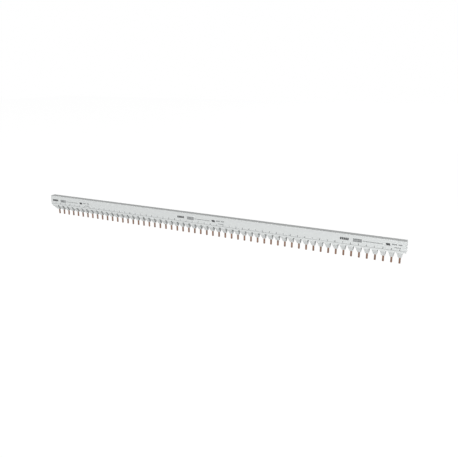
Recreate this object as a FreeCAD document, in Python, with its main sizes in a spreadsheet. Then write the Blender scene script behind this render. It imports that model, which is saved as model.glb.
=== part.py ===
import FreeCAD, Part
import math
import os
import Sketcher
from FreeCAD import Placement, Rotation, Vector

# Pin busbar for a row of circuit breakers: an insulating housing with four chambers, a strip of
# tapered tongues clipped under it, four copper combs whose pins share one plane, and two end caps.
# Frame: X along the bar, Y through its depth, Z up. The origin is at the middle of the bar's
# length, in the middle plane of the housing's depth, at the level of the pin tips.

PHASES = 4
PINS_PER_PHASE = 14
PINS = PHASES * PINS_PER_PHASE

# Driving dimensions in millimetres.
SIZES = {
    # the pin row and what the bar has beyond it
    "pin_pitch": 17.8,
    "left_margin": 17.5,
    "right_margin": 13.5,
    # heights, stacked from the pin tips upwards
    "pin_exposed": 13.8,
    "tongue_height": 12.5,
    "rim_height": 5.7,
    "housing_height": 23.1,
    # housing section
    "outer_wall": 2.1,
    "roof_thickness": 1.8,
    "web_thickness": 1.0,
    "web_overhang": 1.5,
    "top_radius": 0.8,
    "seam_bevel": 0.35,
    # copper combs
    "copper_thickness": 2.0,
    "strip_height": 14.0,
    "pin_width": 4.1,
    "neck_height": 2.6,
    "joggle_height": 10.2,
    "bend_radius": 1.2,
    "tip_bevel": 0.6,
    # tongue strip
    "tongue_end_width": 7.2,
    "tongue_end_depth": 6.4,
    "notch_rise": 2.2,
    "notch_radius": 3.1,
    "floor_thickness": 1.5,
    "ramp_length": 11.5,
    "funnel_width": 10.0,
    "slot_land": 3.0,
    "leg_height": 4.0,
    "leg_thickness": 0.9,
    "barb_depth": 0.3,
    "barb_height": 1.2,
    "barb_start": 1.9,
    # end caps
    "cap_thickness": 1.5,
    "cap_bevel": 0.4,
    "cap_lip": 0.1,
    "plug_length": 4.0,
    "strip_end_gap": 0.5,
    # clearance on each side of a piece that is pushed into another
    "fit_gap": 0.1,
}

# How far a cutting shape runs past the face that it leaves.
OVERRUN = 1.0

doc = FreeCAD.newDocument("pin_busbar")
sheet = doc.addObject("Spreadsheet::Sheet", "dim")
for row, (alias, number) in enumerate(SIZES.items(), start=1):
    sheet.set("A%d" % row, alias)
    sheet.set("B%d" % row, str(number))
    sheet.setAlias("B%d" % row, alias)
doc.recompute()

# Stations along X.
BAR_LENGTH = "(dim.left_margin + %d * dim.pin_pitch + dim.right_margin)" % (PINS - 1)
BAR_START = "(-%s / 2)" % BAR_LENGTH
BAR_END = "(%s / 2)" % BAR_LENGTH
FIRST_PIN = "(%s + dim.left_margin)" % BAR_START
LAST_PIN = "(%s - dim.right_margin)" % BAR_END
BODY_START = "(%s + dim.cap_thickness)" % BAR_START
BODY_LENGTH = "(%s - 2 * dim.cap_thickness)" % BAR_LENGTH
STRIP_INSET = "(dim.cap_thickness + dim.plug_length + dim.strip_end_gap)"

# Levels along Z.
TONGUE_END = "dim.pin_exposed"
RIM_BOTTOM = "(dim.pin_exposed + dim.tongue_height)"
NOTCH_TOP = "(%s + dim.notch_rise)" % RIM_BOTTOM
FLOOR_TOP = "(%s + dim.floor_thickness)" % NOTCH_TOP
SEAM = "(%s + dim.rim_height)" % RIM_BOTTOM
LEG_TOP = "(%s + dim.leg_height)" % SEAM
BARB_BOTTOM = "(%s + dim.barb_start)" % SEAM
BARB_TOP = "(%s + dim.barb_height)" % BARB_BOTTOM
TOP = "(%s + dim.housing_height)" % SEAM
CHAMBER_TOP = "(%s - dim.roof_thickness)" % TOP
STRIP_TOP = "(%s - dim.fit_gap)" % CHAMBER_TOP
STRIP_BOTTOM = "(%s - dim.strip_height)" % STRIP_TOP
PIN_ROOT = "(%s + dim.copper_thickness)" % STRIP_BOTTOM
WEB_BOTTOM = "(%s - dim.web_overhang)" % STRIP_BOTTOM
UPPER_BEND = "(%s - dim.neck_height)" % STRIP_BOTTOM
LOWER_BEND = "(%s - dim.joggle_height)" % UPPER_BEND
FUNNEL_END = "(dim.pin_exposed + dim.slot_land)"

# Widths across Y.
CHAMBER_WIDTH = "(dim.copper_thickness + 2 * dim.fit_gap)"
CHAMBER_PITCH = "(%s + dim.web_thickness)" % CHAMBER_WIDTH
HALF_CAVITY = "((%d * %s - dim.web_thickness) / 2)" % (PHASES, CHAMBER_PITCH)
HALF_DEPTH = "(%s + dim.outer_wall)" % HALF_CAVITY
LEG_OUTER = "(%s + dim.leg_thickness)" % HALF_CAVITY
REBATE = "(%s + dim.fit_gap)" % LEG_OUTER

# All pins stand below the rearmost chamber.
PIN_PLANE = "(%.1f * %s)" % ((PHASES - 1) / 2, CHAMBER_PITCH)
SLOT_REAR = "(%s + %s / 2)" % (PIN_PLANE, CHAMBER_WIDTH)
SLOT_FRONT = "(%s - %s / 2)" % (PIN_PLANE, CHAMBER_WIDTH)

# Width along X of the slot that holds a pin.
SLOT_WIDTH = "(dim.pin_width + 2 * dim.fit_gap)"


def value(text):
    """Number that an expression on the spreadsheet has now."""
    found = sheet.evalExpression(text)
    return float(getattr(found, "Value", found))


def chamber_centre(phase):
    """Expression for the middle plane of a phase's chamber."""
    return "((%.1f) * %s)" % (phase - (PHASES - 1) / 2, CHAMBER_PITCH)


def new_body(label):
    body = doc.addObject("PartDesign::Body", label)
    body.Label = label
    return body


def origin_feature(body, role):
    return [each for each in body.Origin.OriginFeatures if each.Role == role][0]


def new_sketch(body, name, plane, offset="0"):
    """Sketch on one of the body's origin planes, moved along its normal by an expression."""
    sketch = body.newObject("Sketcher::SketchObject", name)
    sketch.AttachmentSupport = [(origin_feature(body, plane), "")]
    sketch.MapMode = "FlatFace"
    sketch.setExpression("AttachmentOffset.Base.z", offset)
    return sketch


def constrain(sketch, expression, *arguments):
    """Add a constraint whose last argument is the size that the expression gives."""
    index = sketch.addConstraint(Sketcher.Constraint(*arguments, value(expression)))
    sketch.setExpression("Constraints[%d]" % index, expression)


def arc_between(before, corner, after, radius):
    """Tangent points and centre of the arc that rounds a corner between its two neighbours."""
    to_before = (before - corner).normalize()
    to_after = (after - corner).normalize()
    half_angle = to_before.getAngle(to_after) / 2
    reach = radius / math.tan(half_angle)
    centre = corner + (to_before + to_after).normalize() * (radius / math.sin(half_angle))
    return corner + to_before * reach, corner + to_after * reach, centre


def draw_arc(sketch, start, end, centre, radius):
    """Arc from start to end the short way round, with True if it runs anticlockwise."""
    anticlockwise = (start - centre).cross(end - centre).z > 0
    first, last = (start, end) if anticlockwise else (end, start)
    circle = Part.Circle(centre, Vector(0, 0, 1), radius)
    arc = Part.ArcOfCircle(circle, circle.parameter(first), circle.parameter(last))
    return sketch.addGeometry(arc, False), anticlockwise


def outline(sketch, corners):
    """Closed outline through corners, each two expressions and, where it is round, a radius.

    A round corner keeps its sharp corner as a construction point on both of its lines, so every
    corner is placed by the same two dimensions.
    """
    points = [Vector(value(corner[0]), value(corner[1]), 0) for corner in corners]
    count = len(points)
    arcs = {}
    for i, corner in enumerate(corners):
        if len(corner) == 3:
            after = points[(i + 1) % count]
            arcs[i] = arc_between(points[i - 1], points[i], after, value(corner[2]))
    lines = []
    for i in range(count):
        j = (i + 1) % count
        start = arcs[i][1] if i in arcs else points[i]
        end = arcs[j][0] if j in arcs else points[j]
        lines.append(sketch.addGeometry(Part.LineSegment(start, end), False))
    for i, corner in enumerate(corners):
        before, after = lines[i - 1], lines[i]
        if i in arcs:
            start, end, centre = arcs[i]
            arc, anticlockwise = draw_arc(sketch, start, end, centre, value(corner[2]))
            arc_start, arc_end = (1, 2) if anticlockwise else (2, 1)
            sketch.addConstraint(Sketcher.Constraint("Tangent", before, 2, arc, arc_start))
            sketch.addConstraint(Sketcher.Constraint("Tangent", arc, arc_end, after, 1))
            constrain(sketch, corner[2], "Radius", arc)
            placed = sketch.addGeometry(Part.Point(points[i]), True)
            sketch.addConstraint(Sketcher.Constraint("PointOnObject", placed, 1, before))
            sketch.addConstraint(Sketcher.Constraint("PointOnObject", placed, 1, after))
        else:
            sketch.addConstraint(Sketcher.Constraint("Coincident", before, 2, after, 1))
            placed = after
        constrain(sketch, corner[0], "DistanceX", -1, 1, placed, 1)
        constrain(sketch, corner[1], "DistanceY", -1, 1, placed, 1)


def negative(corners):
    """The same corners on the other side of the sketch's vertical axis, in the order that
    continues an outline."""
    return [("(-%s)" % corner[0],) + tuple(corner[1:]) for corner in reversed(corners)]


def rectangle(sketch, left, right, bottom, top):
    outline(sketch, [(left, bottom), (right, bottom), (right, top), (left, top)])


def pad(body, name, sketch, length):
    feature = body.newObject("PartDesign::Pad", name)
    feature.Profile = sketch
    feature.setExpression("Length", length)
    return feature


def pocket(body, name, sketch, length, along_normal=False):
    feature = body.newObject("PartDesign::Pocket", name)
    feature.Profile = sketch
    feature.setExpression("Length", length)
    feature.Reversed = along_normal
    return feature


def repeat_along_bar(body, name, features, copies, spacing):
    """Repeat features along X and make the result the body's shape."""
    pattern = body.newObject("PartDesign::LinearPattern", name)
    pattern.Originals = features
    pattern.Direction = (origin_feature(body, "X_Axis"), [""])
    pattern.Mode = "Spacing"
    pattern.Occurrences = copies
    pattern.setExpression("Offset", spacing)
    body.Tip = pattern
    return pattern


def make_housing():
    """Inverted channel with one chamber for each comb, extruded along the bar."""
    body = new_body("housing")
    section = new_sketch(body, "housing_section", "YZ_Plane", BODY_START)
    # right half of the outside, then the wall's inner face with its groove for the barb
    outside = [
        (HALF_DEPTH, TOP, "dim.top_radius"),
        (HALF_DEPTH, "(%s + dim.seam_bevel)" % SEAM),
        ("(%s - dim.seam_bevel)" % HALF_DEPTH, SEAM),
    ]
    groove_floor = "(%s + dim.barb_depth)" % REBATE
    groove_bottom = "(%s - dim.fit_gap)" % BARB_BOTTOM
    groove_top = "(%s + dim.fit_gap)" % BARB_TOP
    inside = [
        (REBATE, SEAM),
        (REBATE, groove_bottom),
        (groove_floor, groove_bottom),
        (groove_floor, groove_top),
        (REBATE, groove_top),
        (REBATE, "(%s + dim.fit_gap)" % LEG_TOP),
        (HALF_CAVITY, "(%s + dim.fit_gap)" % LEG_TOP),
    ]
    chambers = []
    for phase in reversed(range(PHASES)):
        right = "(%s + %s / 2)" % (chamber_centre(phase), CHAMBER_WIDTH)
        left = "(%s - %s / 2)" % (chamber_centre(phase), CHAMBER_WIDTH)
        if phase < PHASES - 1:
            chambers.append((right, WEB_BOTTOM))
        chambers += [(right, CHAMBER_TOP), (left, CHAMBER_TOP)]
        if phase > 0:
            chambers.append((left, WEB_BOTTOM))
    outline(section, outside + inside + chambers + negative(inside) + negative(outside))
    pad(body, "housing_extrusion", section, BODY_LENGTH)
    return body


def make_comb(phase):
    """Copper comb: a strip and its pins, cranked from the strip's plane to the common one."""
    body = new_body("copper_comb_%d" % (phase + 1))
    first_pin = "(%s + %d * dim.pin_pitch)" % (FIRST_PIN, phase)
    body.setExpression("Placement.Base.x", first_pin)
    offset = chamber_centre(phase)
    half = "dim.copper_thickness / 2"
    half_width = "(dim.pin_width / 2)"

    strip_start = "(%s + %s - %s)" % (BAR_START, STRIP_INSET, first_pin)
    strip_length = "(%s - 2 * %s)" % (BAR_LENGTH, STRIP_INSET)
    strip_section = new_sketch(body, "strip_section", "YZ_Plane", strip_start)
    rectangle(strip_section, "(%s - %s)" % (offset, half), "(%s + %s)" % (offset, half),
              STRIP_BOTTOM, STRIP_TOP)
    pad(body, "strip", strip_section, strip_length)

    # side view of a pin: straight under the rearmost strip, cranked under the others; both bends
    # turn by the same angle, so their mitres are alike
    rear, front = "(%s + %s)" % (PIN_PLANE, half), "(%s - %s)" % (PIN_PLANE, half)
    profile = new_sketch(body, "pin_profile", "YZ_Plane", "(-%s)" % half_width)
    if phase == PHASES - 1:
        rectangle(profile, front, rear, "0", PIN_ROOT)
    else:
        crank = "(%s - %s)" % (PIN_PLANE, offset)
        mitre = "(%s * tan(atan(%s / dim.joggle_height) / 2))" % (half, crank)
        tight, wide = "dim.bend_radius", "(dim.bend_radius + dim.copper_thickness)"
        outline(profile, [
            ("(%s + %s)" % (offset, half), PIN_ROOT),
            ("(%s + %s)" % (offset, half), "(%s + %s)" % (UPPER_BEND, mitre), tight),
            (rear, "(%s + %s)" % (LOWER_BEND, mitre), wide),
            (rear, "0"),
            (front, "0"),
            (front, "(%s - %s)" % (LOWER_BEND, mitre), tight),
            ("(%s - %s)" % (offset, half), "(%s - %s)" % (UPPER_BEND, mitre), wide),
            ("(%s - %s)" % (offset, half), PIN_ROOT),
        ])
    pin = pad(body, "pin", profile, "dim.pin_width")

    # the two lower corners of the pin's front view
    tip_cuts = new_sketch(body, "tip_cuts", "XZ_Plane",
                          "(dim.copper_thickness - %s)" % PIN_PLANE)
    inner = "(%s - dim.tip_bevel - %g)" % (half_width, OVERRUN)
    outer = "(%s + %g)" % (half_width, OVERRUN)
    below = "(-%g)" % OVERRUN
    corner_cut = [(inner, below), (outer, below), (outer, "(dim.tip_bevel + %g)" % OVERRUN)]
    outline(tip_cuts, corner_cut)
    outline(tip_cuts, negative(corner_cut))
    tips = pocket(body, "tip_bevels", tip_cuts, "(2 * dim.copper_thickness)")
    repeat_along_bar(body, "pins", [pin, tips], PINS_PER_PHASE, "(%d * dim.pin_pitch)" % PHASES)
    return body


def make_tongue_strip():
    """Strip that closes the housing from below, with a tapered tongue round every pin.

    The tongues are upright at the rear and slope back from the front face to the pins.
    """
    body = new_body("tongue_strip")
    section = new_sketch(body, "strip_section", "YZ_Plane", BODY_START)
    upper_half = [
        (HALF_DEPTH, "(%s - dim.seam_bevel)" % SEAM),
        ("(%s - dim.seam_bevel)" % HALF_DEPTH, SEAM),
        (LEG_OUTER, SEAM),
        (LEG_OUTER, BARB_BOTTOM),
        ("(%s + dim.barb_depth)" % LEG_OUTER, BARB_BOTTOM),
        (LEG_OUTER, BARB_TOP),
        (LEG_OUTER, "(%s - dim.barb_depth)" % LEG_TOP),
        ("(%s - dim.barb_depth)" % LEG_OUTER, LEG_TOP),
        (HALF_CAVITY, LEG_TOP),
        (HALF_CAVITY, FLOOR_TOP),
    ]
    slope = [
        ("(-%s)" % HALF_DEPTH, RIM_BOTTOM),
        ("(%s - dim.tongue_end_depth)" % HALF_DEPTH, TONGUE_END),
        (HALF_DEPTH, TONGUE_END),
    ]
    outline(section, upper_half + negative(upper_half) + slope)
    pad(body, "tongue_strip_extrusion", section, BODY_LENGTH)

    # rounded notch between the first two tongues, repeated up to the last pair
    front = "(%s + %g)" % (HALF_DEPTH, OVERRUN)
    through = "(2 * %s)" % front
    notch_middle = "(%s + dim.pin_pitch / 2)" % FIRST_PIN
    notch_half = "((dim.pin_pitch - dim.tongue_end_width) / 2)"
    notch = new_sketch(body, "notch_outline", "XZ_Plane", front)
    draw_notch(notch, notch_middle, notch_half)
    notches = pocket(body, "notch", notch, through)
    repeat_along_bar(body, "notches", [notches], PINS - 1, "dim.pin_pitch")

    # the long ramp beside the first tongue and the short flank beside the last one
    ends = new_sketch(body, "end_outlines", "XZ_Plane", front)
    below = "(%s - %g)" % (TONGUE_END, OVERRUN)
    first_flank = "(%s - dim.tongue_end_width / 2)" % FIRST_PIN
    outline(ends, [
        ("(%s - %g)" % (BAR_START, OVERRUN), below),
        (first_flank, below),
        (first_flank, TONGUE_END),
        ("(%s - dim.ramp_length)" % first_flank, NOTCH_TOP, "dim.notch_radius"),
        ("(%s - %g)" % (BAR_START, OVERRUN), NOTCH_TOP),
    ])
    last_flank = "(%s + dim.tongue_end_width / 2)" % LAST_PIN
    outline(ends, [
        (last_flank, below),
        ("(%s + %g)" % (BAR_END, OVERRUN), below),
        ("(%s + %g)" % (BAR_END, OVERRUN), NOTCH_TOP),
        ("(%s + (%s - dim.notch_radius))" % (last_flank, notch_half), NOTCH_TOP, "dim.notch_radius"),
        (last_flank, TONGUE_END),
    ])
    pocket(body, "end_cuts", ends, through)

    # funnel that leads each pin to its slot: narrow end below, mouth level with the floor
    funnel = body.newObject("PartDesign::SubtractiveWedge", "funnel")
    funnel.AttachmentSupport = [(origin_feature(body, "XZ_Plane"), "")]
    funnel.MapMode = "FlatFace"
    funnel.setExpression("AttachmentOffset.Base.x", FIRST_PIN)
    wedge_sizes = {
        "Ymin": FUNNEL_END,
        "Ymax": FLOOR_TOP,
        "Xmin": "(-%s / 2)" % SLOT_WIDTH,
        "Xmax": "(%s / 2)" % SLOT_WIDTH,
        "Zmin": "(-%s)" % SLOT_REAR,
        "Zmax": "(-%s)" % SLOT_FRONT,
        "X2min": "(-dim.funnel_width / 2)",
        "X2max": "(dim.funnel_width / 2)",
        "Z2min": "(-%s)" % HALF_CAVITY,
        "Z2max": HALF_CAVITY,
    }
    for name, expression in wedge_sizes.items():
        setattr(funnel, name, value(expression))
        funnel.setExpression(name, expression)
    slot_outline = new_sketch(body, "slot_outline", "XY_Plane", FUNNEL_END)
    rectangle(slot_outline,
              "(%s - %s / 2)" % (FIRST_PIN, SLOT_WIDTH), "(%s + %s / 2)" % (FIRST_PIN, SLOT_WIDTH),
              SLOT_FRONT, SLOT_REAR)
    slot = pocket(body, "slot", slot_outline, "(dim.slot_land + %g)" % OVERRUN)
    repeat_along_bar(body, "funnels_and_slots", [funnel, slot], PINS, "dim.pin_pitch")
    return body


def draw_notch(sketch, middle, half_width):
    """Notch with a round top: two flanks tangent to one arc and open below the tongues."""
    x, w = value(middle), value(half_width)
    radius, top = value("dim.notch_radius"), value(NOTCH_TOP)
    bottom = value(TONGUE_END)
    centre = Vector(x, top - radius, 0)
    # tangent from the flank's foot to the circle
    foot = Vector(x + w, bottom, 0)
    to_centre = centre - foot
    swing = math.asin(radius / to_centre.Length)
    reach = math.sqrt(to_centre.Length ** 2 - radius ** 2)
    heading = math.atan2(to_centre.y, to_centre.x) - swing
    touch = foot + Vector(math.cos(heading), math.sin(heading), 0) * reach
    mirrored = Vector(2 * x - touch.x, touch.y, 0)
    other_foot = Vector(x - w, bottom, 0)
    below = Vector(0, -OVERRUN, 0)

    circle = Part.Circle(centre, Vector(0, 0, 1), radius)
    arc = sketch.addGeometry(
        Part.ArcOfCircle(circle, circle.parameter(touch), circle.parameter(mirrored)), False)
    stops = [mirrored, other_foot, other_foot + below, foot + below, foot, touch]
    lines = [sketch.addGeometry(Part.LineSegment(a, b), False) for a, b in zip(stops, stops[1:])]
    sketch.addConstraint(Sketcher.Constraint("Tangent", arc, 2, lines[0], 1))
    for before, after in zip(lines, lines[1:]):
        sketch.addConstraint(Sketcher.Constraint("Coincident", before, 2, after, 1))
    sketch.addConstraint(Sketcher.Constraint("Tangent", lines[-1], 2, arc, 1))
    constrain(sketch, "dim.notch_radius", "Radius", arc)
    constrain(sketch, middle, "DistanceX", -1, 1, arc, 3)
    constrain(sketch, "(%s - dim.notch_radius)" % NOTCH_TOP, "DistanceY", -1, 1, arc, 3)
    corners = [
        (lines[1], "-", TONGUE_END),
        (lines[2], "-", "(%s - %g)" % (TONGUE_END, OVERRUN)),
        (lines[3], "+", "(%s - %g)" % (TONGUE_END, OVERRUN)),
        (lines[4], "+", TONGUE_END),
    ]
    for line, sign, level in corners:
        constrain(sketch, "(%s %s %s)" % (middle, sign, half_width), "DistanceX", -1, 1, line, 1)
        constrain(sketch, level, "DistanceY", -1, 1, line, 1)


def make_end_cap(label, station, turn):
    """Plate over one end of the bar, with a tab in each chamber and one above the strip's floor."""
    body = new_body(label)
    body.Placement = Placement(Vector(0, 0, 0), Rotation(Vector(0, 0, 1), turn))
    body.setExpression("Placement.Base.x", station)

    plate_outline = new_sketch(body, "plate_outline", "YZ_Plane")
    half_plate = "(%s + dim.cap_lip)" % HALF_DEPTH
    half = [(half_plate, NOTCH_TOP), (half_plate, TOP, "dim.top_radius")]
    outline(plate_outline, half + negative(half))
    plate = pad(body, "plate", plate_outline, "dim.cap_thickness")
    doc.recompute()

    outer_edges = [
        "Edge%d" % number
        for number, edge in enumerate(plate.Shape.Edges, start=1)
        if all(abs(vertex.Point.x) < 1e-6 for vertex in edge.Vertexes)
    ]
    bevel = body.newObject("PartDesign::Chamfer", "plate_bevel")
    bevel.Base = (plate, outer_edges)
    bevel.setExpression("Size", "dim.cap_bevel")

    tabs = new_sketch(body, "tab_outlines", "YZ_Plane", "(dim.cap_thickness / 2)")
    reach = "(%s / 2 - dim.fit_gap)" % CHAMBER_WIDTH
    for phase in range(PHASES):
        rectangle(tabs, "(%s - %s)" % (chamber_centre(phase), reach),
                  "(%s + %s)" % (chamber_centre(phase), reach), STRIP_BOTTOM, STRIP_TOP)
    lower = "(%s - dim.fit_gap)" % HALF_CAVITY
    rectangle(tabs, "(-%s)" % lower, lower,
              "(%s + dim.fit_gap)" % FLOOR_TOP, "(%s - dim.fit_gap)" % WEB_BOTTOM)
    pad(body, "tabs", tabs, "(dim.cap_thickness / 2 + dim.plug_length)")
    return body


def main():
    bodies = [make_housing(), make_tongue_strip()]
    bodies += [make_comb(phase) for phase in range(PHASES)]
    bodies.append(make_end_cap("end_cap_left", BAR_START, 0))
    bodies.append(make_end_cap("end_cap_right", BAR_END, 180))
    doc.recompute()

    for each in doc.Objects:
        if "Invalid" in each.State or "Error" in each.State:
            raise RuntimeError("%s did not compute: %s" % (each.Name, each.State))
    for body in bodies:
        if body.Shape.isNull() or not body.Shape.isValid():
            raise RuntimeError("%s has no valid shape" % body.Label)
        print("%-16s %9.1f mm3  %d solid" % (body.Label, body.Shape.Volume, len(body.Shape.Solids)))

    os.makedirs("parts", exist_ok=True)
    for body in bodies:
        body.Shape.exportStep("parts/%s.step" % body.Label)


main()
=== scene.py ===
# %% [markdown]
# # A pin busbar, finished in Blender
#
# The bar is a metre of light grey insulation with 56 flat copper pins under it. Its solids come
# ready made from the frame, at their real size, so this file gives them their finish: extruded
# plastic, moulded plastic and punched copper. It then prints the front face, and sets up a floor,
# soft light and the camera. All lengths are in metres.

# %% Load the frame
import math

import bpy
import numpy as np
from mathutils import Matrix, Vector


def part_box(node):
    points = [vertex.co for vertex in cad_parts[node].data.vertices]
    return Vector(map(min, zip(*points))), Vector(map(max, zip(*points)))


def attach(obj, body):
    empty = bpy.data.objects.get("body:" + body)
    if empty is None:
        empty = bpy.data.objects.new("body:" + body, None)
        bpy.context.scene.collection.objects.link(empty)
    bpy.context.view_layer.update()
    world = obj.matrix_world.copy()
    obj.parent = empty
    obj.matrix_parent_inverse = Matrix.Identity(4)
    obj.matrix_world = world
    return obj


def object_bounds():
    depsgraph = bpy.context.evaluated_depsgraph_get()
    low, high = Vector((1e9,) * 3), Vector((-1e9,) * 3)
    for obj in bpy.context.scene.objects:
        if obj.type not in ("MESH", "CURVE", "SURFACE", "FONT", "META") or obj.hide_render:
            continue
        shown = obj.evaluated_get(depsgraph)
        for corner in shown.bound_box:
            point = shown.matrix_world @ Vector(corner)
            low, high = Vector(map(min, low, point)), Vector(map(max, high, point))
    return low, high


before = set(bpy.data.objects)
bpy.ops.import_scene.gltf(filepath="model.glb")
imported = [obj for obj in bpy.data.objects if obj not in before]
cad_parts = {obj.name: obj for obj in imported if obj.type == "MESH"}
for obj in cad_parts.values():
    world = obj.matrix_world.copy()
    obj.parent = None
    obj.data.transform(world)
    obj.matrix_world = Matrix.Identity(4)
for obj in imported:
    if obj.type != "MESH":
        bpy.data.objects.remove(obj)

MM = 0.001
cad_low, cad_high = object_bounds()
print("bar %.1f x %.1f x %.1f mm" % tuple((cad_high - cad_low) / MM))

# %% [markdown]
# ## What the frame says about sizes
#
# Everything that is added here lines up with the solids, so its place is worked out from them. The
# pins stand at one pitch, and the first pin's place follows from the left margin. The seam between
# the housing and the strip of tongues is the housing's lowest level.

# %% Sizes from the frame
PIN_PITCH = 17.8 * MM
LEFT_MARGIN = 17.5 * MM
PINS = 56
PHASES = 4

housing_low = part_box("housing")[0]
tongue_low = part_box("tongue_strip")[0]
FRONT = housing_low.y
SEAM = housing_low.z
TONGUE_END = tongue_low.z
FIRST_PIN = cad_low.x + LEFT_MARGIN
print("front face at Y %.2f mm, seam at Z %.2f mm, tongues end at Z %.2f mm"
      % (FRONT / MM, SEAM / MM, TONGUE_END / MM))

# %% [markdown]
# ## Shader maths written as Python
#
# A material's pattern is a sum over noises, masks and stripes. Drawn as nodes that is a large
# graph, so a small class wraps one output socket and turns Python's operators into Math nodes.
# `1 - mask` or `0.5 + streaks * 0.1` then reads as it is meant. Every other node comes from `node`.

# %% The class that wraps a socket
class Signal:
    """One output socket of a material, with the arithmetic that Math nodes give it."""

    def __init__(self, tree, socket):
        self.tree = tree
        self.socket = socket

    def node(self, kind, settings=None, inputs=None, output=0):
        """Add a node: settings first, then inputs by name or number, each a value or a Signal."""
        made = self.tree.nodes.new(kind)
        for name, setting in (settings or {}).items():
            if name == "stops":
                for stop, (position, shade) in zip(ramp_stops(made, len(setting)), setting):
                    stop.position = position
                    stop.color = (shade, shade, shade, 1)
            else:
                setattr(made, name, setting)
        for name, given in (inputs or {}).items():
            if isinstance(given, Signal):
                self.tree.links.new(given.socket, made.inputs[name])
            else:
                made.inputs[name].default_value = given
        return Signal(self.tree, made.outputs[output])

    def maths(self, operation, first, second):
        return self.node("ShaderNodeMath", {"operation": operation}, {0: first, 1: second})

    def __add__(self, other):
        return self.maths("ADD", self, other)

    __radd__ = __add__

    def __sub__(self, other):
        return self.maths("SUBTRACT", self, other)

    def __rsub__(self, other):
        return self.maths("SUBTRACT", other, self)

    def __mul__(self, other):
        return self.maths("MULTIPLY", self, other)

    __rmul__ = __mul__

    def __abs__(self):
        return self.maths("ABSOLUTE", self, 0)

    def over(self, limit):
        """1 where the signal is above the limit, else 0."""
        return self.maths("GREATER_THAN", self, limit)


def ramp_stops(node, count):
    """The stops of a colour ramp, after making as many as are asked for."""
    stops = node.color_ramp.elements
    while len(stops) < count:
        stops.new(1)
    return stops


# %% [markdown]
# ## Starting points of a pattern
#
# Object coordinates are in metres here, because every solid sits at the origin with its place in
# its mesh. `stretched` scales them, so that a noise becomes long streaks along the bar. The face's
# own direction tells an extruded face from a cut one.

# %% Materials and coordinates
def new_material(name):
    """A material with its shader node, and the object coordinates to build a pattern on."""
    material = bpy.data.materials.new(name)
    material.use_nodes = True
    tree = material.node_tree
    shader = tree.nodes["Principled BSDF"]
    coordinates = tree.nodes.new("ShaderNodeTexCoord")
    return material, shader, Signal(tree, coordinates.outputs["Object"])


def stretched(place, x, y, z):
    """The coordinates scaled along each axis, in pattern cells per metre."""
    return place.node("ShaderNodeMapping", {"vector_type": "POINT"},
                      {"Vector": place, "Scale": (x, y, z)})


def noise(place, detail=2.0, roughness=0.5):
    """Noise between 0 and 1, one cell for each unit of the coordinates."""
    return place.node("ShaderNodeTexNoise", {"noise_dimensions": "3D"},
                      {"Vector": place, "Scale": 1.0, "Detail": detail, "Roughness": roughness})


def facing(place, axis):
    """How squarely a face looks along an axis, from 0 to 1, whichever way round."""
    normal = place.node("ShaderNodeNewGeometry", output="Normal")
    return abs(place.node("ShaderNodeSeparateXYZ", None, {0: normal}, output=axis))


def mixed(amount, first, second):
    """Colour that goes from the first to the second as the amount goes from 0 to 1."""
    return amount.node("ShaderNodeMix", {"data_type": "RGBA"},
                       {0: amount, 6: first, 7: second}, output=2)


def finish_surface(shader, colour, roughness, height, depth):
    """Wire a pattern into the shader: colour, roughness and a relief of that depth in metres."""
    tree = colour.tree
    tree.links.new(colour.socket, shader.inputs["Base Color"])
    tree.links.new(roughness.socket, shader.inputs["Roughness"])
    bump = height.node("ShaderNodeBump", None, {"Height": height, "Distance": depth})
    tree.links.new(bump.socket, shader.inputs["Normal"])


# %% [markdown]
# ## Extruded insulation
#
# The housing is one long extrusion of light grey plastic. The die leaves very fine lines along it,
# and the tint drifts a little along the bar. Long thin noise cells, a few per metre along the bar
# and thousands across it, give those lines. The notches between the tongues are cut afterwards, so
# faces that look along the bar are duller and carry short upright marks of the cutter, and their
# darker colour is partly painted shade of the notch walls. Where the housing meets the strip of
# tongues, the two lips are painted nearly black as a painted shadow line in the seam.
#
# The cells of each noise are given per metre along X, Y and Z.

# %% The plastics
PLASTIC_PALE = (0.665, 0.685, 0.680, 1)
PLASTIC_SHADE = (0.610, 0.630, 0.628, 1)
# Colour of the cut faces: partly their duller cut finish, partly painted shade of the notch walls.
PLASTIC_CUT_SHADED = (0.560, 0.578, 0.575, 1)
# Nearly black colour painted on the seam's lips as a painted shadow line.
PLASTIC_SEAM_SHADOW = (0.150, 0.155, 0.155, 1)

DRIFT_CELLS = (6, 40, 40)
STREAK_CELLS = (3, 2600, 2600)
GRAIN_CELLS = (1500, 1500, 1500)
SPECK_CELLS = (420, 420, 420)
CUTTER_CELLS = (1800, 1800, 90)

SPECK_LEVEL = 0.77
CUT_FACING = 0.30
# Half height and strength of the painted shadow line at the seam.
SEAM_SHADOW_REACH = 0.40 * MM
SEAM_SHADOW_COVER = 0.6


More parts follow.
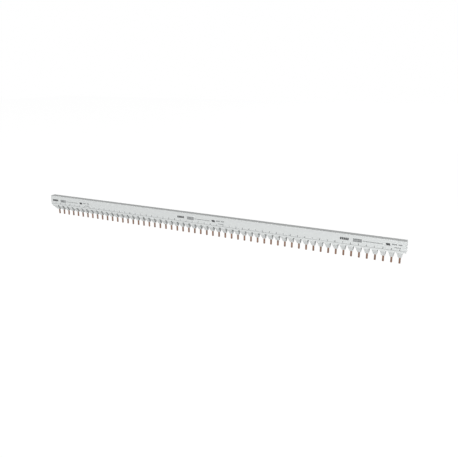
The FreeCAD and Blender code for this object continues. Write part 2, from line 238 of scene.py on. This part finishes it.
def plastic(name, grain_depth, streak_share, cut_faces, seam_shadow):
    """Light grey plastic: streaks along the bar, fine grain, and duller cut faces if it has any.

    Cut faces are also darker, partly as painted shade. With seam_shadow, the two lips that meet at
    the seam get a painted shadow line.
    """
    material, shader, place = new_material(name)
    drift = noise(stretched(place, *DRIFT_CELLS), detail=2.0)
    streaks = noise(stretched(place, *STREAK_CELLS), detail=1.0)
    grain = noise(stretched(place, *GRAIN_CELLS), detail=2.0)
    specks = noise(stretched(place, *SPECK_CELLS), detail=0.0).over(SPECK_LEVEL)
    shade = 0.15 + drift * 0.35 + streaks * (0.25 * streak_share) + grain * 0.12 + specks * 0.25
    colour = mixed(shade, PLASTIC_PALE, PLASTIC_SHADE)
    roughness = 0.50 + grain * 0.10 + streaks * (0.08 * streak_share)
    height = grain * (1 - streak_share) + streaks * streak_share
    if cut_faces:
        cut = facing(place, "X").over(CUT_FACING)
        marks = noise(stretched(place, *CUTTER_CELLS), detail=1.0)
        # Cut faces: duller finish and cutter marks, and a darker colour that is partly painted
        # shade of the notch walls.
        colour = mixed(cut * (0.55 + marks * 0.35), colour, PLASTIC_CUT_SHADED)
        roughness = roughness + cut * 0.14
        height = height + cut * marks
    if seam_shadow:
        # Painted shadow line: the lips within reach of the seam are mixed towards a nearly black
        # colour.
        level = place.node("ShaderNodeSeparateXYZ", None, {0: place}, output="Z")
        seam_shadow_band = 1 - abs(level - SEAM).over(SEAM_SHADOW_REACH)
        colour = mixed(seam_shadow_band * SEAM_SHADOW_COVER, colour, PLASTIC_SEAM_SHADOW)
    finish_surface(shader, colour, roughness, height, grain_depth)
    shader.inputs["IOR"].default_value = 1.53
    shader.inputs["Specular IOR Level"].default_value = 0.32
    return material


housing_plastic = plastic("extruded_plastic", 0.02 * MM, 0.7, cut_faces=False, seam_shadow=True)
tongue_plastic = plastic("notched_plastic", 0.02 * MM, 0.6, cut_faces=True, seam_shadow=True)
cap_plastic = plastic("moulded_plastic", 0.04 * MM, 0.0, cut_faces=False, seam_shadow=False)
print("plastics:", housing_plastic.name, tongue_plastic.name, cap_plastic.name)

# %% [markdown]
# ## Punched copper
#
# Each comb is punched from rolled strip, so its flat faces carry the roll's fine lines along the
# bar, and the narrow edges show the punch's upright shear marks. Bare copper dulls unevenly, from
# salmon to brown. The metal mirrors the pale room, so its own colour has to be the dulled one.

# %% The copper
COPPER_BRIGHT = (0.275, 0.166, 0.118, 1)
COPPER_DULL = (0.140, 0.088, 0.064, 1)
COPPER_SHEARED = (0.185, 0.112, 0.082, 1)
COPPER_RELIEF = 0.015 * MM

TARNISH_CELLS = (70, 240, 160)
ROLLED_CELLS = (40, 5000, 5000)
SHEAR_CELLS = (4500, 4500, 120)

DULLING_STOPS = [(0.36, 0.0), (0.64, 1.0)]
SHEARED_FACING = 0.60


def copper(name):
    """Rolled and punched copper with a thin uneven oxide."""
    material, shader, place = new_material(name)
    tarnish = noise(stretched(place, *TARNISH_CELLS), detail=4.0, roughness=0.6)
    rolled = noise(stretched(place, *ROLLED_CELLS), detail=1.0)
    sheared = facing(place, "X").over(SHEARED_FACING)
    shear_marks = noise(stretched(place, *SHEAR_CELLS), detail=1.0)
    dulling = tarnish.node("ShaderNodeValToRGB", {"stops": DULLING_STOPS}, {"Fac": tarnish})
    amount = dulling * 0.75 + rolled * 0.20
    colour = mixed(sheared * 0.6, mixed(amount, COPPER_BRIGHT, COPPER_DULL), COPPER_SHEARED)
    roughness = 0.30 + tarnish * 0.16 + sheared * 0.10
    height = rolled * (1 - sheared) + shear_marks * sheared
    finish_surface(shader, colour, roughness, height, COPPER_RELIEF)
    shader.inputs["Metallic"].default_value = 1.0
    return material


bare_copper = copper("bare_copper")
print("metal:", bare_copper.name)

# %% [markdown]
# ## Giving each solid its finish
#
# The solids keep their meshes. Only the material in their slot changes, and two fine modifiers are
# added: the first joins the loose triangles, and the second breaks the sharp edges by a tenth of a
# millimetre or two, because no moulded or punched edge is perfectly sharp and it is the small
# rounded edge that catches the light.

# %% Materials and edge rounding
FINISHES = {
    "housing": (housing_plastic, 0.15 * MM),
    "tongue_strip": (tongue_plastic, 0.15 * MM),
    "end_cap_left": (cap_plastic, 0.10 * MM),
    "end_cap_right": (cap_plastic, 0.10 * MM),
}
for phase in range(PHASES):
    FINISHES["copper_comb_%d" % (phase + 1)] = (bare_copper, 0.12 * MM)

EDGE_ANGLE = math.radians(35)
WELD_REACH = 0.001 * MM


def break_edges(solid, width):
    """Join the loose triangles and round every edge sharper than the angle by the width."""
    weld = solid.modifiers.new("joined", "WELD")
    weld.merge_threshold = WELD_REACH
    bevel = solid.modifiers.new("broken_edges", "BEVEL")
    bevel.width = width
    bevel.segments = 2
    bevel.limit_method = "ANGLE"
    bevel.angle_limit = EDGE_ANGLE
    bevel.harden_normals = True


for node, (material, edge) in FINISHES.items():
    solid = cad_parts[node]
    solid.data.materials.clear()
    solid.data.materials.append(material)
    break_edges(solid, edge)
print("finished", len(FINISHES), "solids")

# %% [markdown]
# ## Ink on the front face
#
# The maker's print is left off, and plain marks of the same size and tone stand in its place: a
# row of dark bars, two rows of grey bars above each other, a slanted dark bar and broken rules. A
# numeral from 1 to 4 above each tongue names the phase that its pin belongs to. All of it is an ink
# film a few hundredths of a millimetre thick: flat outlines, worked out as arrays and thickened.

# %% Ink as thin plates
INK_PROUD = 0.02 * MM
INK_SUNK = 0.03 * MM


def ink_plates(outlines):
    """Vertices and faces of one thin plate for each outline.

    An outline is a ring of points (x, z). Its plate has the ring once in front of the face and once
    behind it, the two rings closed by one face each and joined by a quad for every side.
    """
    points, faces = [], []
    for ring in outlines:
        ring = np.asarray(ring, float)
        count, start = len(ring), sum(len(block) for block in points)
        for depth in (FRONT - INK_PROUD, FRONT + INK_SUNK):
            points.append(np.column_stack([ring[:, 0], np.full(count, depth), ring[:, 1]]))
        near = np.arange(count) + start
        far = near + count
        faces.append(list(near))
        faces.append(list(far[::-1]))
        sides = np.column_stack([near, far, np.roll(far, -1), np.roll(near, -1)])
        faces += sides.tolist()
    return np.concatenate(points), faces


def bar(left, bottom, width, height, slant=0.0):
    """Ring of a bar's four corners, its top moved sideways by the slant."""
    return np.array([
        (left, bottom), (left + width, bottom),
        (left + width + slant, bottom + height), (left + slant, bottom + height)])


def add_ink(name, outlines, material):
    """A piece of ink on the front face, riding with the bar."""
    points, faces = ink_plates(outlines)
    mesh = bpy.data.meshes.new(name)
    mesh.from_pydata(points.tolist(), [], faces)
    mesh.materials.append(material)
    piece = bpy.data.objects.new(name, mesh)
    bpy.context.scene.collection.objects.link(piece)
    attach(piece, "root")
    print(name, len(outlines), "marks")
    return piece


# %% [markdown]
# The ink itself is a dark grey that lies a little unevenly on the plastic.

# %% Ink materials
INK_CELLS = (2500, 2500, 2500)
INK_RELIEF = 0.01 * MM


def ink(name, dark, light):
    """Printing ink with a slightly uneven cover."""
    material, shader, place = new_material(name)
    cover = noise(stretched(place, *INK_CELLS), detail=2.0)
    finish_surface(shader, mixed(cover, dark, light), 0.42 + cover * 0.2, cover, INK_RELIEF)
    return material


black_ink = ink("black_ink", (0.018, 0.019, 0.021, 1), (0.040, 0.041, 0.044, 1))
grey_ink = ink("grey_ink", (0.085, 0.089, 0.094, 1), (0.130, 0.135, 0.140, 1))

# %% [markdown]
# The print repeats along the bar. Each group starts with the dark bars and ends with the short
# rules. The three groups stand at one pitch, and each is a little higher than the one to its left.

# %% The print groups
GROUP_PITCH = 429.2 * MM
GROUP_START = cad_low.x + 7.2 * MM
GROUP_CLIMB = 0.8 * MM
GROUPS = 3
LINE_MIDDLE = 42.6 * MM
SECOND_LINE = 37.9 * MM

BLOCK_START = 29.5 * MM
RULE_START = 51.0 * MM
SLANTED_START = 102.2 * MM
WORD_STARTS = {114.0 * MM: 4, 128.0 * MM: 3}
SECOND_LINE_START = 120.0 * MM
BARS_RISE = 0.4 * MM
BLOCK_RISE = 1.9 * MM
SLANTED_RISE = 0.8 * MM
WORD_RISE = 2.0 * MM


def row_of_bars(left, middle, count, width, gap, height, slant=0.0):
    """Equal bars in a row, each as high above the middle line as below it."""
    return [bar(left + i * (width + gap), middle - height / 2, width, height, slant)
            for i in range(count)]


def print_group(left, climb):
    """Dark marks and grey marks of one group, as two lists of outlines."""
    line = LINE_MIDDLE + climb
    dark = row_of_bars(left, line + BARS_RISE,
                       count=5, width=3.4 * MM, gap=0.7 * MM, height=5.4 * MM)
    dark += row_of_bars(left + SLANTED_START, line + SLANTED_RISE,
                        count=1, width=8.8 * MM, gap=0, height=5.2 * MM, slant=-1.8 * MM)
    grey = []
    for rise in (BLOCK_RISE, -BLOCK_RISE):
        grey += row_of_bars(left + BLOCK_START, line + rise,
                            count=9, width=1.75 * MM, gap=0.45 * MM, height=3.4 * MM)
    grey += row_of_bars(left + RULE_START, line,
                        count=17, width=1.9 * MM, gap=0.7 * MM, height=1.5 * MM)
    for start, marks in WORD_STARTS.items():
        grey += row_of_bars(left + start, line + WORD_RISE,
                            count=marks, width=2.0 * MM, gap=0.8 * MM, height=2.6 * MM)
    grey += row_of_bars(left + SECOND_LINE_START, SECOND_LINE + climb,
                        count=5, width=2.0 * MM, gap=0.8 * MM, height=1.8 * MM)
    return dark, grey


dark_marks, grey_marks = [], []
for group in range(GROUPS):
    dark, grey = print_group(GROUP_START + group * GROUP_PITCH, (group - 1) * GROUP_CLIMB)
    dark_marks += dark
    grey_marks += grey
add_ink("print_dark_marks", dark_marks, black_ink)
add_ink("print_grey_marks", grey_marks, grey_ink)

# %% [markdown]
# ## Phase numerals
#
# A numeral is a pen stroke: a path of points widened to both sides. The ring goes up one side of
# the path and back down the other. At a bend, each side point moves along the mean of the two
# normals, by the half width over the cosine of half the turn, so the stroke keeps its width.

# %% Strokes and numerals
def stroke(path, width):
    """Ring round a path (x, z): path + half width x normal, then back along the other side."""
    path = np.asarray(path, float)
    along = np.diff(path, axis=0)
    along /= np.linalg.norm(along, axis=1)[:, None]
    normals = np.column_stack([-along[:, 1], along[:, 0]])
    at_points = np.vstack([normals[:1], normals[:-1] + normals[1:], normals[-1:]])
    at_points /= np.linalg.norm(at_points, axis=1)[:, None]
    beside = np.vstack([normals[:1], normals])
    reach = width / 2 / np.sum(at_points * beside, axis=1)
    side = at_points * reach[:, None]
    return np.vstack([path - side, (path + side)[::-1]])


def arc(centre_x, centre_z, radius, first, last, steps=8):
    """Points on an arc: centre + radius x (cos, sin), between two angles in degrees."""
    turn = np.radians(np.linspace(first, last, steps))
    return np.column_stack([centre_x + radius * np.cos(turn), centre_z + radius * np.sin(turn)])


def numeral(digit):
    """Paths of a numeral in a box 0.6 wide and 1 high, with its lower left corner at 0, 0."""
    if digit == 1:
        return [[(0.12, 0.78), (0.36, 0.97), (0.36, 0.0)]]
    if digit == 2:
        top = arc(0.30, 0.72, 0.25, 165, -35)
        return [np.vstack([top, [(0.05, 0.04), (0.58, 0.04)]])]
    if digit == 3:
        return [np.vstack([arc(0.28, 0.745, 0.22, 150, -80), arc(0.28, 0.27, 0.25, 80, -150)])]
    return [[(0.44, 0.0), (0.44, 0.97), (0.04, 0.27), (0.60, 0.27)]]


print("numerals:", [len(numeral(digit)) for digit in (1, 2, 3, 4)], "strokes each")

# %% [markdown]
# The numerals stand just above the seam, each over its pin. The pins are near the rear of the bar,
# so from the right a numeral seems to slip to the left of its pin, most of all at the far end.

# %% Print the numerals
NUMERAL_HEIGHT = 3.9 * MM
HALF_NUMERAL = 0.3 * NUMERAL_HEIGHT
NUMERAL_PEN = 0.75 * MM
NUMERAL_BASE = SEAM + 0.6 * MM

numeral_marks = []
for pin in range(PINS):
    left = FIRST_PIN + pin * PIN_PITCH - HALF_NUMERAL
    for path in numeral(pin % PHASES + 1):
        placed = np.array([left, NUMERAL_BASE]) + np.asarray(path) * NUMERAL_HEIGHT
        numeral_marks.append(stroke(placed, NUMERAL_PEN))
add_ink("print_phase_numerals", numeral_marks, grey_ink)

# %% [markdown]
# ## Floor and background
#
# The floor and the world look white to the camera, and in the copper's reflections, while the
# light that they send to the bar stays low. Light Path tells such rays apart. The floor mixes a
# plain diffuse shader under that white, so that the bar's soft shadow still shows on it.

# %% Floor and world
WHITE = (1, 1, 1, 1)
FLOOR_MATT = (0.80, 0.80, 0.80, 1)
FLOOR_SIZE = 12.0
WHITE_SHARE = 0.82
FLOOR_WHITE = 1.16
FLOOR_GLOW = 0.20
AMBIENT = 0.25


def background_rays(path):
    """1 for rays that see the background: from the camera, off gloss or through glass."""
    seen = path.node("ShaderNodeMath", {"operation": "MAXIMUM"},
                     {0: Signal(path.tree, path.socket.node.outputs["Is Camera Ray"]),
                      1: Signal(path.tree, path.socket.node.outputs["Is Glossy Ray"])})
    return path.node("ShaderNodeMath", {"operation": "MAXIMUM"},
                     {0: seen,
                      1: Signal(path.tree, path.socket.node.outputs["Is Transmission Ray"])})


def light_path(tree):
    """A Light Path node, by its first output."""
    return Signal(tree, tree.nodes.new("ShaderNodeLightPath").outputs[0])


def make_floor():
    """One large square at the level of the pin tips: matt for the bar, white for the camera."""
    half = FLOOR_SIZE / 2
    level = cad_low.z
    mesh = bpy.data.meshes.new("floor")
    mesh.from_pydata([(-half, -half, level), (half, -half, level), (half, half, level),
                      (-half, half, level)], [], [(0, 1, 2, 3)])
    floor = bpy.data.objects.new("floor", mesh)
    bpy.context.scene.collection.objects.link(floor)

    material = bpy.data.materials.new("pale_floor")
    material.use_nodes = True
    tree = material.node_tree
    tree.nodes.clear()
    path = light_path(tree)
    matt = path.node("ShaderNodeBsdfDiffuse", None, {"Color": FLOOR_MATT})
    white = path.node("ShaderNodeEmission", None, {"Color": WHITE, "Strength": FLOOR_WHITE})
    share = FLOOR_GLOW + background_rays(path) * (WHITE_SHARE - FLOOR_GLOW)
    surface = path.node("ShaderNodeMixShader", None, {0: share, 1: matt, 2: white})
    output = tree.nodes.new("ShaderNodeOutputMaterial")
    tree.links.new(surface.socket, output.inputs["Surface"])
    mesh.materials.append(material)


def make_world():
    """A white room that gives the bar only a quarter of the light that its white would."""
    world = bpy.data.worlds.new("pale_room")
    world.use_nodes = True
    tree = world.node_tree
    tree.nodes.clear()
    seen = background_rays(light_path(tree))
    strength = AMBIENT + seen * (1.0 - AMBIENT)
    background = strength.node("ShaderNodeBackground", None, {"Color": WHITE, "Strength": strength})
    output = tree.nodes.new("ShaderNodeOutputWorld")
    tree.links.new(background.socket, output.inputs["Surface"])
    bpy.context.scene.world = world


make_floor()
make_world()
print("floor at Z %.1f mm" % (cad_low.z / MM))

# %% [markdown]
# ## Light
#
# The front face is bright, the top is a middle grey and the notch walls that look to the right are
# dark at the far end and pale at the near one. So the main light is a large soft panel low in front
# of the bar and to its left, and a small weak one stands close to the bar's right end. A third lies
# low behind the bar and lights its back.

# %% Lamps
def panel_light(name, direction, distance, size, power):
    """A square area lamp that looks at the bar's middle from the direction."""
    lamp = bpy.data.lights.new(name, "AREA")
    lamp.shape = "SQUARE"
    lamp.size = size
    lamp.energy = power
    holder = bpy.data.objects.new(name, lamp)
    bpy.context.scene.collection.objects.link(holder)
    towards = Vector(direction).normalized()
    holder.matrix_world = (Matrix.Translation(towards * distance)
                           @ towards.to_track_quat("Z", "Y").to_matrix().to_4x4())


panel_light("main_panel", (-0.35, -1.0, 0.20), distance=6.0, size=4.0, power=285)
panel_light("side_panel", (1.0, -0.32, 0.08), distance=1.9, size=0.9, power=20)
panel_light("rear_panel", (0.30, 1.0, 0.06), distance=6.0, size=4.0, power=80)
print("lamps:", [lamp.name for lamp in bpy.data.lights])

# %% [markdown]
# ## Camera
#
# The camera stands right of the bar's middle, in front and above, and looks 27 degrees to the left
# and 16 degrees down. Its place and lens come from fitting the pins' assumed pitch to a picture of
# 458 x 458 pixels. The three axes make its rotation matrix: right, up and back.

# %% Camera
FRAME_PIXELS = 458
FOCAL_PIXELS = 539.85
SENSOR = 36.0
CAMERA_PLACE = Vector((0.6621, -1.1519, 0.4060))
CAMERA_YAW = math.radians(26.92)
CAMERA_PITCH = math.radians(16.40)
CAMERA_ROLL = math.radians(-0.19)

forward = Vector((-math.sin(CAMERA_YAW) * math.cos(CAMERA_PITCH),
                  math.cos(CAMERA_YAW) * math.cos(CAMERA_PITCH), -math.sin(CAMERA_PITCH)))
level_right = Vector((math.cos(CAMERA_YAW), math.sin(CAMERA_YAW), 0))
level_up = level_right.cross(forward)
right = level_right * math.cos(CAMERA_ROLL) + level_up * math.sin(CAMERA_ROLL)
up = level_up * math.cos(CAMERA_ROLL) - level_right * math.sin(CAMERA_ROLL)

lens = bpy.data.cameras.new("camera")
lens.sensor_width = SENSOR
lens.lens = FOCAL_PIXELS / FRAME_PIXELS * SENSOR
lens.clip_start = 0.01
lens.clip_end = 100
camera = bpy.data.objects.new("camera", lens)
bpy.context.scene.collection.objects.link(camera)
camera.matrix_world = Matrix((
    (right.x, up.x, -forward.x, CAMERA_PLACE.x),
    (right.y, up.y, -forward.y, CAMERA_PLACE.y),
    (right.z, up.z, -forward.z, CAMERA_PLACE.z),
    (0, 0, 0, 1)))
bpy.context.scene.camera = camera
bpy.context.scene.view_settings.view_transform = "Standard"
print("lens %.2f mm" % lens.lens)
